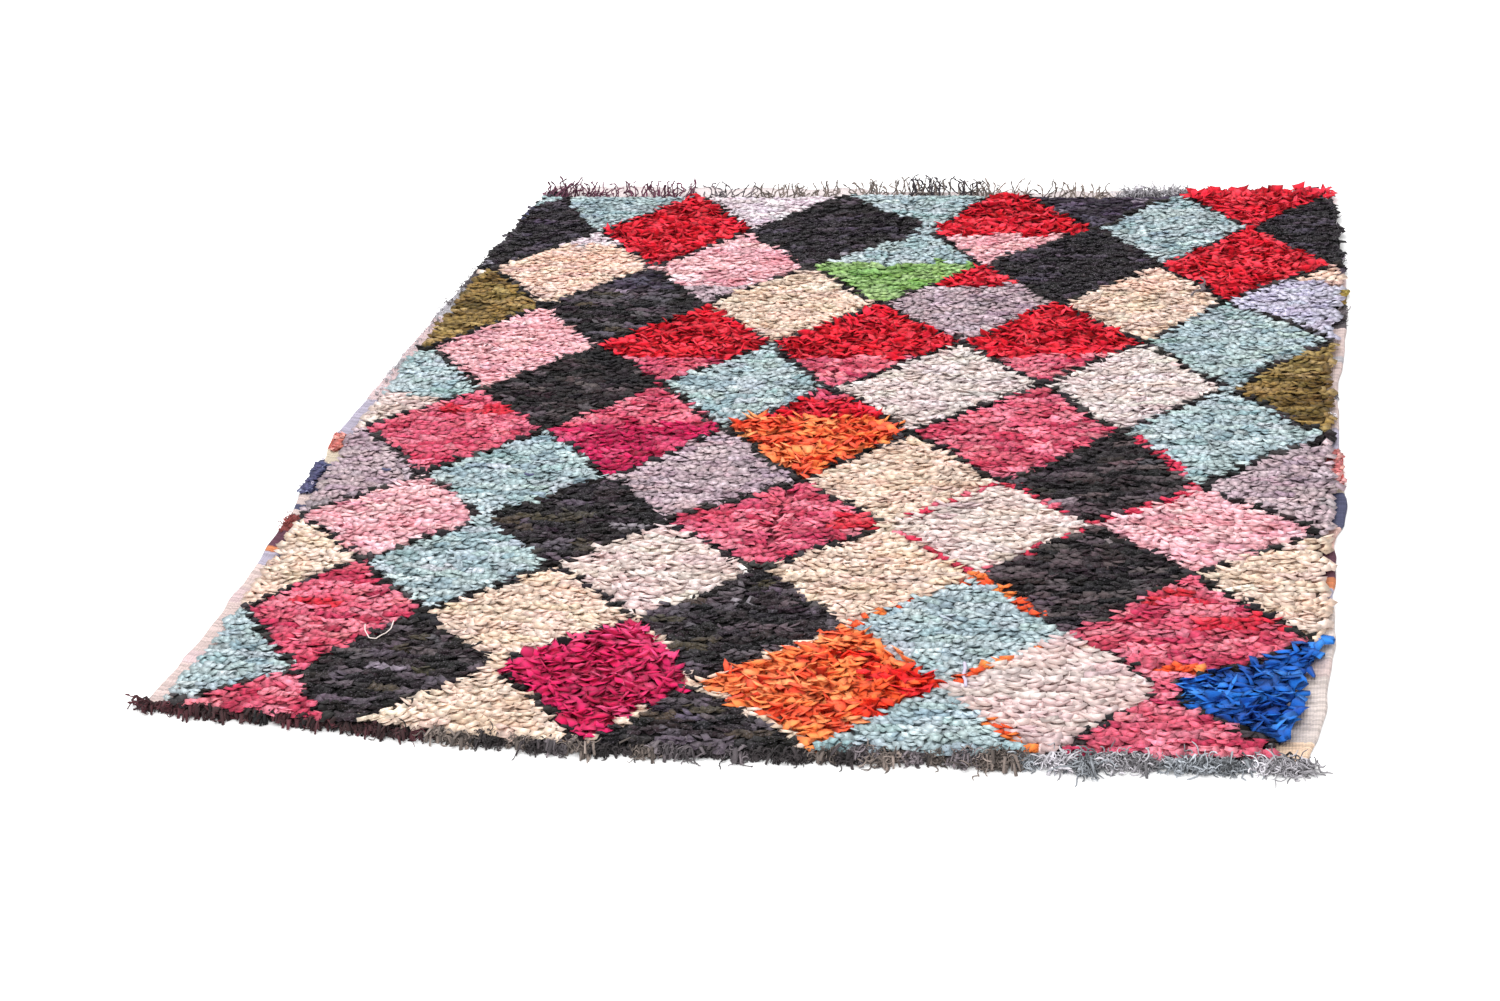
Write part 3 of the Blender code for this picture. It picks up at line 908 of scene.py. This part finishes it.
def makeDeepPile():
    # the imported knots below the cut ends, which show only through the gaps
    deepShade, across, along = layGrid("deepPile", *pile["deepCells"])
    leftInset, rightInset, nearInset, farInset = pile["deepInsets"]
    y = mix(nearSide, farSide, along)
    x = mix(pileLeft(y) + leftInset, pileRight(y) - rightInset, across)
    y = mix(nearEnd(x) + nearInset, bareEnd(x) - farInset, along)
    placePoints(deepShade, x, y, np.full(len(x), pile["deepFloor"]))

    def toneAt(x, y):
        rag = rags[ragAt(x, y - 0.004)]
        # the rag's colour times its deepShade factor: painted shade on the slab where it shows through the
        # gaps, painted light on pale rags
        return np.minimum(linear(rag["tones"][0][:3]) * rag["deepShade"] * dice.uniform(0.95, 1.15), 0.9)

    colourFaces(deepShade, toneAt)
    thicken(deepShade, pile["deepHeight"])
    deepShade.data.materials.append(weaveMaterial("deepPile"))
    return finishPiece(deepShade, "pile")


sown = sowPile()
hangSideTufts(sown)
for ragName, rag in rags.items():
    if ragName in sown:
        ragPiece = growTufts("pile" + ragName[0].upper() + ragName[1:], sown[ragName], rag["shape"])
        grain = families[rag["shape"]]["grain"]
        finish = ragMaterial(ragName + "Rag", rag["deepShade"], rag["tip"], rag["flecks"], grain)
        ragPiece.data.materials.append(finish)
        finishPiece(ragPiece, "pile")
makeDeepPile()
print("pile sown:", sum(len(tufts) for tufts in sown.values()), "tufts,", len(sown), "rags")


# Ground weave

weave = {
    "cellsAcross": 104,
    "cellsAlong": 84,
    "inset": 0.006,
    "floor": 0.0003,
    "curlFrom": 0.962,
    "curlHeight": 0.0085,
    "farReach": 0.027,
    "thickness": 0.0027,
    "farTone": (248, 234, 234),
}


def makeWeave():
    cloth, across, along = layGrid("groundWeave", weave["cellsAcross"], weave["cellsAlong"])
    x, y = rugPoint(across, along, weave["inset"])
    # the bare far end runs on past the pile and curls up a little
    curl = smooth((along - weave["curlFrom"]) / (1 - weave["curlFrom"]))
    curl = curl * smooth((edges["bareStops"] - x) / 0.06 + 0.5)
    ragged = np.array([wander(place, 0, 0.05, 13) + 0.5 * wander(place, 0, 0.018, 14) for place in x])
    reach = weave["farReach"] * (1 - 0.6 * smooth((x + 0.15) / 0.12))
    lay = weave["floor"] + weave["curlHeight"] * curl * (0.85 + 0.5 * ragged)
    placePoints(cloth, x, y + reach * curl * (1 + 0.30 * ragged), lay)

    def toneAt(x, y):
        if y > bareEnd(x) - 0.002 or y - nearEnd(x) < 0.02:
            return linear(weave["farTone"])
        # under the pile, the rag's own colour dimmed to 72 to 98 per cent, as painted shade in the gaps
        # between the tufts
        return linear(rags[ragAt(x, y)]["tones"][0][:3]) * dice.uniform(0.72, 0.98)

    colourFaces(cloth, toneAt)
    thicken(cloth, weave["thickness"])
    cloth.data.shade_smooth()
    cloth.data.materials.append(weaveMaterial("groundWeave"))
    return cloth


groundWeave = finishPiece(makeWeave(), "ground_weave")
print("ground woven")


# Side bands: the flat woven borders beside the pile, with their wrapped cords

yarnTones = {
    "offWhite": (228, 214, 208), "pinkWhite": (226, 204, 200), "lavender": (190, 182, 202),
    "peach": (246, 214, 186), "orange": (226, 140, 96), "burgundy": (104, 62, 80), "slate": (84, 86, 116),
    "pinkCream": (230, 190, 180), "cream": (230, 214, 192), "salmon": (216, 96, 92), "wool": (104, 96, 100),
    "olive": (124, 104, 60), "brick": (196, 92, 76), "brightBlue": (36, 92, 176), "darkWool": (58, 52, 58),
    "palePink": (226, 200, 202), "brownBurgundy": (66, 42, 44), "greyBrown": (124, 112, 106),
    "paleGrey": (192, 188, 194), "steel": (150, 154, 160), "charcoal": (62, 56, 58),
    "nearBlack": (30, 28, 30), "wine": (82, 43, 49), "rust": (150, 74, 72),
}

bands = {
    "ribs": 580,
    "ribHeight": 0.0005,
    "bellied": 0.0014,  # the outer edge waves in and out this far
    "underPile": 0.030,
    # across from the outer edge, and the height there
    "profile": ((0.0, 0.0014), (0.0006, 0.0042), (0.0030, 0.0062), (0.0075, 0.0060), (0.0120, 0.0044)),
    "flatHeight": 0.0036,
    # where each colour ends, from the near end, and how far that part bulges out in millimetres
    "right": (
        (-0.886, "peach", 0), (-0.740, "offWhite", 1.5), (-0.690, "pinkWhite", 0), (-0.553, "offWhite", -1),
        (-0.510, "lavender", -2), (-0.486, "orange", 0.5), (-0.410, "burgundy", 1.5),
        (-0.347, "pinkCream", -2), (-0.243, "slate", 4), (-0.226, "cream", 1), (-0.118, "salmon", 2),
        (-0.035, "lavender", -1.5), (0.060, "pinkWhite", 0.5), (0.085, "paleGrey", 2),
        (0.200, "pinkWhite", 1), (0.225, "paleGrey", 2), (0.330, "pinkWhite", 0.5), (0.430, "wool", 1),
        (0.490, "olive", 2), (0.600, "palePink", 0), (2.0, "darkWool", 0),
    ),
    "left": (
        (-0.820, "pinkWhite", 0), (-0.790, "palePink", 1.5), (-0.660, "pinkWhite", -1),
        (-0.620, "palePink", 1.5), (-0.549, "pinkWhite", -1), (-0.508, "lavender", 0), (-0.497, "orange", 1),
        (-0.450, "burgundy", 1), (-0.397, "rust", 1.5), (-0.381, "pinkWhite", 0), (-0.366, "slate", 1),
        (-0.333, "pinkWhite", 0), (-0.233, "slate", 3), (-0.188, "cream", -2), (-0.130, "brick", 3),
        (0.0, "lavender", -1.5), (0.120, "palePink", 0), (0.160, "paleGrey", -1), (0.340, "palePink", 1),
        (0.460, "paleGrey", 1), (0.560, "wool", 0), (0.800, "darkWool", 0), (0.850, "brightBlue", 1),
        (2.0, "palePink", 0),
    ),
}


def bandTone(side, y):
    y += 0.006 * wander(0, y, 0.02, 12)
    return next(tone for end, tone, bulge in bands[side] if y < end)


def bandBulge(side, y):
    # smoothed over a few ribs
    ends = np.array([part[0] for part in bands[side]])
    bulges = np.array([part[2] for part in bands[side]]) * 0.001
    return np.mean([bulges[np.searchsorted(ends, y + step)] for step in np.linspace(-0.012, 0.012, 7)], 0)


def makeBand(side):
    # a flat strip first, with one row of faces for each half rib, then folded into the band's section
    profile, rows = bands["profile"], bands["ribs"] * 2
    last = len(profile)
    band, aside, along = layGrid(side + "Band", last + 2, rows)
    station = np.rint(aside * (last + 2)).astype(int)
    row = np.rint(along * rows).astype(int)
    y = mix(nearSide, farSide, along)
    reach = edgeAt(side + "Band", y) + bands["underPile"]
    rib = np.where(row % 2 == 0, 1.0, -0.6) * bands["ribHeight"]
    across = np.zeros(len(y))
    height = np.zeros(len(y))
    for k, (way, up) in enumerate(profile):
        here = station == k
        belly = bands["bellied"] * np.sin(y[here] * 61) * np.sin(y[here] * 23 + 1)
        across[here] = way - (rib[here] + (belly + bandBulge(side, y[here]))) * (k < 3)
        height[here] = up + rib[here] * 0.8 * (k > 0)
    for k, (share, up) in enumerate(((1.0, bands["flatHeight"]), (1.0, 0.0002), (0.1, 0.0002))):
        here = station == last + k
        across[here] = reach[here] * share
        height[here] = up + (rib[here] * 0.5 if k == 0 else 0)
    edge = edgeAt(side, y)
    x = edge + across if side == "left" else edge - across
    placePoints(band, x, mix(nearEnd(x), farEnd(x), along), np.maximum(height, 0.0002))
    shades = {}

    def toneAt(x, y):
        # one shade for each rib
        rib = int(round((y - nearSide) / (farSide - nearSide) * bands["ribs"]))
        if rib not in shades:
            shades[rib] = linear(yarnTones[bandTone(side, y)]) * dice.uniform(0.70, 1.10)
        return shades[rib]

    colourFaces(band, toneAt)
    bpy.ops.object.mode_set(mode="EDIT")
    faceOutwards()
    bpy.ops.object.mode_set(mode="OBJECT")
    band.data.shade_smooth()
    band.data.materials.append(weaveMaterial(side + "Band"))
    return band


for side in ("left", "right"):
    finishPiece(makeBand(side), "ground_weave")
print("side bands wrapped")


# Yarn ends: straight yarns are modelled, and each end is a copy laid along its own curve

yarnShapes = {
    "twisted": {"sides": 4, "start": (1.0, 0.66), "lengths": 14, "twist": 48, "highest": 0.036},
    "frizz": {"sides": 3, "start": (1.0, 1.0), "lengths": 12, "twist": 0, "highest": 0.037},
    "thread": {"sides": 5, "start": (1.0, 1.0), "lengths": 24, "twist": 0},
}
lowestYarn = 0.0012
thinTip = 0.55


def modelYarn(name, shape):
    yarn = startEnd(name, shape["sides"])
    bpy.ops.transform.resize(value=(*shape["start"], 1), center_override=(0, 0, 0))
    for k in range(shape["lengths"]):
        bpy.ops.mesh.extrude_region_move(TRANSFORM_OT_translate={"value": (0, 0, 1)})
        if shape["twist"]:
            bpy.ops.transform.rotate(
                value=-math.radians(shape["twist"]), orient_axis="Z", center_override=(0, 0, k + 1)
            )
    found = takeArrays(yarn, 0.02)
    found["ring"] = np.rint(found["points"][:, 2]).astype(int)
    found["lengths"] = shape["lengths"]
    return found


yarnModels = {name: modelYarn(name, shape) for name, shape in yarnShapes.items()}


def layYarns(name, yarns, kind, node):
    # each yarn has a path of one point for each ring, a thickness and a tone
    model = yarnModels[kind]
    rings = model["lengths"] + 1
    paths = np.array([yarn["path"] for yarn in yarns])
    forward = np.gradient(paths, axis=1)
    forward /= np.linalg.norm(forward, axis=2, keepdims=True) + 1e-9
    aside = np.cross(forward, np.array([0.05, 0.02, 1.0]))
    aside /= np.linalg.norm(aside, axis=2, keepdims=True) + 1e-9
    over = np.cross(aside, forward)
    thick = np.array([yarn["thick"] for yarn in yarns])[:, None, None]
    thick = thick * np.where(np.arange(rings) == rings - 1, thinTip, 1.0)[None, :, None]
    ring, unit = model["ring"], model["points"]
    around = aside[:, ring] * unit[None, :, :1] + over[:, ring] * unit[None, :, 1:2]
    shape = paths[:, ring] + around * thick[:, ring]
    shape[..., 2] = np.maximum(shape[..., 2], 0.0003)
    cells = np.arange(len(yarns))
    faces = copyFaces(model, cells, math.ceil(math.sqrt(len(yarns))))
    mesh = buildMesh(name, shape.reshape(-1, 3), *faces)
    colours = copyTones([yarn["tone"] for yarn in yarns], len(unit))
    setAttribute(mesh, "ragColour", "FLOAT_COLOR", "color", colours)
    mesh.shade_smooth()
    mesh.materials.append(yarnMaterial(name))
    finishPiece(addPiece(name, mesh), node)


def yarnMaterial(name):
    material, link, shader = startMaterial(name, 0.05)
    place = link.node("TexCoord", out=3)
    colour = link.node("Attribute", {"attribute_name": "ragColour"})
    fibres = link.node("TexNoise", Vector=place, Scale=1100.0, Detail=3.0, Roughness=0.7)
    return plugIn(material, shader, colour.dimmed(0.7 + 0.55 * fibres), 0.93, fibres, 0.0008, 0.5)


# Loose ends: where they run, how many, their length, the angle at which they rise, their thickness in
# millimetres, and how far to the right they lean
farEnds = table(
    "from to count length climb thick tone aside",
    (-0.732, -0.694, 30, 0.066, 24, 3.6, "burgundy", 0.3),
    (-0.698, -0.440, 84, 0.054, 38, 3.2, "burgundy", 0.0),
    (-0.440, -0.320, 26, 0.052, 38, 3.0, "wool", 0.0),
    (-0.320, 0.370, 170, 0.050, 40, 3.1, "greyBrown", 0.0),
    (-0.020, 0.045, 20, 0.074, 48, 3.2, "darkWool", 0.0),
    (0.074, 0.112, 9, 0.074, 60, 3.2, "darkWool", 0.0),
    (0.725, 0.742, 12, 0.034, 14, 2.8, "wool", 0.6),
)
nearEnds = table(
    "from to count length climb thick tone aside",
    (-0.752, -0.738, 12, 0.036, 4, 3.4, "wine", -0.9),
    (-0.700, -0.345, 12, 0.030, 2, 2.6, "wine", 0.0),
    (-0.345, 0.390, 26, 0.044, 2, 2.2, "charcoal", 0.0),
    (0.390, 0.730, 26, 0.046, 4, 1.9, "steel", 0.0),
    (0.700, 0.735, 10, 0.034, 16, 2.4, "nearBlack", 0.0),
)

# Lumps of wool along the ends: how far apart they lie, half their width, how far out they reach and how high
# they start, in millimetres, the angle at which their locks lean out, and how many locks and curling fibres
# each has and how wide these are
woolLumps = table(
    "end from to apart wide out high lean locks lock fibres fibre tones",
    ("near", -0.752, -0.345, 17, 11, 24, 9, 52, 19, 5.4, 6, 1.6,
     ("wine", "brownBurgundy", "wine", "brownBurgundy", "nearBlack")),
    ("near", -0.345, 0.120, 27, 15, 25, 10, 52, 30, 4.8, 24, 1.7,
     ("charcoal", "charcoal", "wool", "greyBrown")),
    ("near", 0.120, 0.400, 28, 14, 31, 10, 54, 26, 4.4, 46, 1.9,
     ("charcoal", "wool", "charcoal", "greyBrown")),
    ("near", 0.400, 0.735, 33, 17, 36, 9, 56, 14, 3.6, 96, 2.0, ("paleGrey", "paleGrey", "steel")),
    ("far", 0.365, 0.500, 22, 14, 30, 10, 22, 16, 4.2, 60, 1.7, ("paleGrey",)),
)
locks = {
    "flatness": 0.65,
    "reach": 0.013,  # how far a lock of size one leans out
    # painted shade at the roots of the locks and painted highlight at their tips, as factors on their colour
    "deepShade": 0.42,
    "tip": 1.20,
}


def springyPath(group, start, outward):
    # it climbs away from the rug, kinks and leans over
    kind, middle = yarnShapes["twisted"], group["aside"]
    lengths = kind["lengths"]
    reach = group["length"] * dice.uniform(0.65, 1.15)
    heading = middle + dice.normal(0, 0.5)
    climb = math.radians(group["climb"] + dice.normal(0, 9))
    path = [np.array(start, float)]
    for k in range(lengths):
        heading = middle + 0.84 * (heading - middle) + dice.normal(0, 0.55)
        climb += dice.normal(0, 0.20) - 0.35 / lengths
        level = math.cos(climb)
        way = (math.sin(heading) * level, outward * math.cos(heading) * level, math.sin(climb))
        spot = path[-1] + np.array(way) * reach / lengths
        spot[2] = min(max(spot[2], lowestYarn), kind["highest"])
        path.append(spot)
    return path


def curlPath(start, way, reach, coil):
    # a fibre that coils and bends away from where it starts
    kind = yarnShapes["frizz"]
    way = np.array(way) / np.linalg.norm(way)
    aside = np.cross(way, (0, 0, 1))
    aside = aside / np.linalg.norm(aside)
    over = np.cross(aside, way)
    share = np.linspace(0, 1, kind["lengths"] + 1)[:, None]
    angle = dice.uniform(0, 2 * math.pi) + dice.choice((-1, 1)) * dice.uniform(5, 13) * share
    bend = dice.normal(0, 0.30, 3) * reach * share**2
    path = start + way * reach * share + coil * (aside * np.cos(angle) + over * np.sin(angle)) + bend
    path[:, 2] = np.clip(path[:, 2], lowestYarn, kind["highest"])
    return path


def growEnds(name, groups, outward, node):
    yarns = []
    for group in groups:
        for k in range(group["count"]):
            x = mix(group["from"], group["to"], dice.random())
            y = bareEnd(x) - 0.002 if outward > 0 else nearEnd(x) + 0.003
            tone = varied(yarnTones[group["tone"]], 0.75, 1.25)
            path = springyPath(group, (x, y, dice.uniform(0.003, 0.007)), outward)
            thick = group["thick"] * 0.001 * dice.uniform(0.85, 1.2)
            yarns.append({"path": path, "thick": thick, "tone": tone})
    layYarns(name, yarns, "twisted", node)


def combLock(group, x, rim, reach, high, outward, aside, tone):
    # the locks of a lump fan out
    thick = group["lock"] * 0.001 * dice.uniform(0.6, 1.4)
    height = high * dice.uniform(0.2, 1.0)
    sway = dice.normal(0, 40) - 16 * outward * aside
    return {
        "place": (x, rim, height),
        "turn": (math.pi if outward > 0 else 0) + math.radians(sway),
        "lean": math.radians(group["lean"] + dice.normal(0, 18)),
        "roll": math.radians(dice.normal(0, 30)),
        "size": (thick, thick * locks["flatness"], 0.01 * reach / locks["reach"]),
        "tone": tone,
    }


def curlFibre(group, x, rim, reach, high, outward, out, tone):
    start = (x, rim + outward * reach * dice.uniform(0.2, 0.8), high * dice.uniform(0.3, 1.4))
    climb = 0.6 if outward > 0 else 0.0
    way = (dice.normal(0, 0.9), outward * dice.uniform(0.0, 1.0), dice.normal(climb, 0.4))
    path = curlPath(start, way, out * dice.uniform(0.3, 0.75), dice.uniform(0.0015, 0.0042))
    return {"path": path, "thick": group["fibre"] * 0.001 * dice.uniform(0.7, 1.2), "tone": tone}


def growLumps(name, end, node):
    outward = 1 if end == "far" else -1
    fibres, combed = [], []
    for group in woolLumps:
        if group["end"] != end:
            continue
        count = round((group["to"] - group["from"]) * 1000 / group["apart"])
        for k in range(count):
            middle = mix(group["from"], group["to"], (k + 0.5) / count) + 0.004 * dice.standard_normal()
            wide, out, high = (
                group[key] * 0.001 * dice.uniform(0.65, 1.2) for key in ("wide", "out", "high")
            )
            tone = varied(yarnTones[dice.choice(group["tones"])], 0.88, 1.12)
            for i in range(group["locks"] + group["fibres"]):
                aside = dice.uniform(-1, 1)
                x = middle + wide * aside
                rim = nearEnd(x) + 0.003 if end == "near" else bareEnd(x) - 0.003
                reach = out * math.sqrt(1 - 0.85 * aside**2) * dice.uniform(0.5, 1.1)
                shade = varied(tone, 0.6, 1.2)
                if i < group["locks"]:
                    combed.append(combLock(group, x, rim, reach, high, outward, aside, shade))
                else:
                    fibres.append(curlFibre(group, x, rim, reach, high, outward, out, shade))
    layYarns(name, fibres, "frizz", node)
    piece = growTufts(name + "Locks", combed, "strip")
    piece.data.materials.append(ragMaterial(name + "Locks", locks["deepShade"], locks["tip"]))
    finishPiece(piece, node)


growEnds("farEnds", farEnds, 1, "fringe_far")
growEnds("nearEnds", nearEnds, -1, "fringe_near")
growLumps("farLumps", "far", "fringe_far")
growLumps("nearLumps", "near", "fringe_near")
print("yarn ends laid")


# Frizzy wool on the side bands, and threads that lie loose on the pile

bandWool = table(
    "side from to count tone",
    ("right", -0.010, 0.010, 10, "paleGrey"),
    ("right", 0.060, 0.090, 12, "wool"),
    ("right", 0.350, 0.430, 60, "wool"),
    ("right", 0.700, 0.930, 60, "paleGrey"),
    ("right", 0.560, 0.960, 60, "darkWool"),
    ("left", -0.450, -0.400, 24, "rust"),
    ("left", -0.010, 0.400, 60, "paleGrey"),
    ("left", 0.380, 0.620, 60, "wool"),
    ("left", -0.310, -0.220, 16, "lavender"),
)
threadHeight = 0.0215  # over the tips of most tufts
threads = table(
    "thick tone points",
    (1.7, "offWhite", ((-0.513, -0.730), (-0.507, -0.747), (-0.496, -0.762), (-0.484, -0.766),
                       (-0.477, -0.752), (-0.474, -0.735), (-0.476, -0.718))),
    (4.6, "lavender", ((0.309, -0.764), (0.312, -0.779), (0.311, -0.792), (0.316, -0.806), (0.318, -0.820))),
    (3.4, "wool", ((0.540, 0.500), (0.548, 0.480), (0.546, 0.455), (0.534, 0.440), (0.528, 0.420))),
    (6.0, "wool", ((0.548, 0.470), (0.542, 0.462), (0.549, 0.452), (0.543, 0.444))),
    (4.2, "slate", ((-0.650, -0.275), (-0.644, -0.279), (-0.637, -0.274))),
    (4.2, "slate", ((-0.421, -0.279), (-0.415, -0.283), (-0.408, -0.278))),
)


def layBandWool():
    yarns = []
    for group in bandWool:
        outward = 1 if group["side"] == "right" else -1
        for k in range(group["count"]):
            y = mix(group["from"], group["to"], dice.random())
            x = float(edgeAt(group["side"], y)) - outward * dice.uniform(0.002, 0.014)
            way = (outward * dice.uniform(-0.2, 1.0), dice.normal(0, 1.0), dice.normal(0.1, 0.4))
            tone = varied(yarnTones[group["tone"]], 0.7, 1.25)
            start = (x, y, dice.uniform(0.005, 0.010))
            path = curlPath(start, way, dice.uniform(0.006, 0.013), 0.0022)
            yarns.append({"path": path, "thick": 0.0015 * dice.uniform(0.7, 1.2), "tone": tone})
    layYarns("bandWool", yarns, "frizz", "ground_weave")


def layThreads():
    # each thread runs smoothly through its points, on top of the tufts
    yarns = []
    for thread in threads:
        points = np.array(thread["points"])
        place = np.linspace(0, len(points) - 1, yarnShapes["thread"]["lengths"] + 1)
        x, y = (eased(place, np.arange(len(points)), points[:, axis]) for axis in (0, 1))
        path = np.stack([x, y, threadHeight + 0.0012 * np.sin(place * 2.3)], 1)
        yarns.append({"path": path, "thick": thread["thick"] * 0.001, "tone": yarnTones[thread["tone"]]})
    layYarns("looseThreads", yarns, "thread", "pile")


layBandWool()
layThreads()
print("loose threads laid")
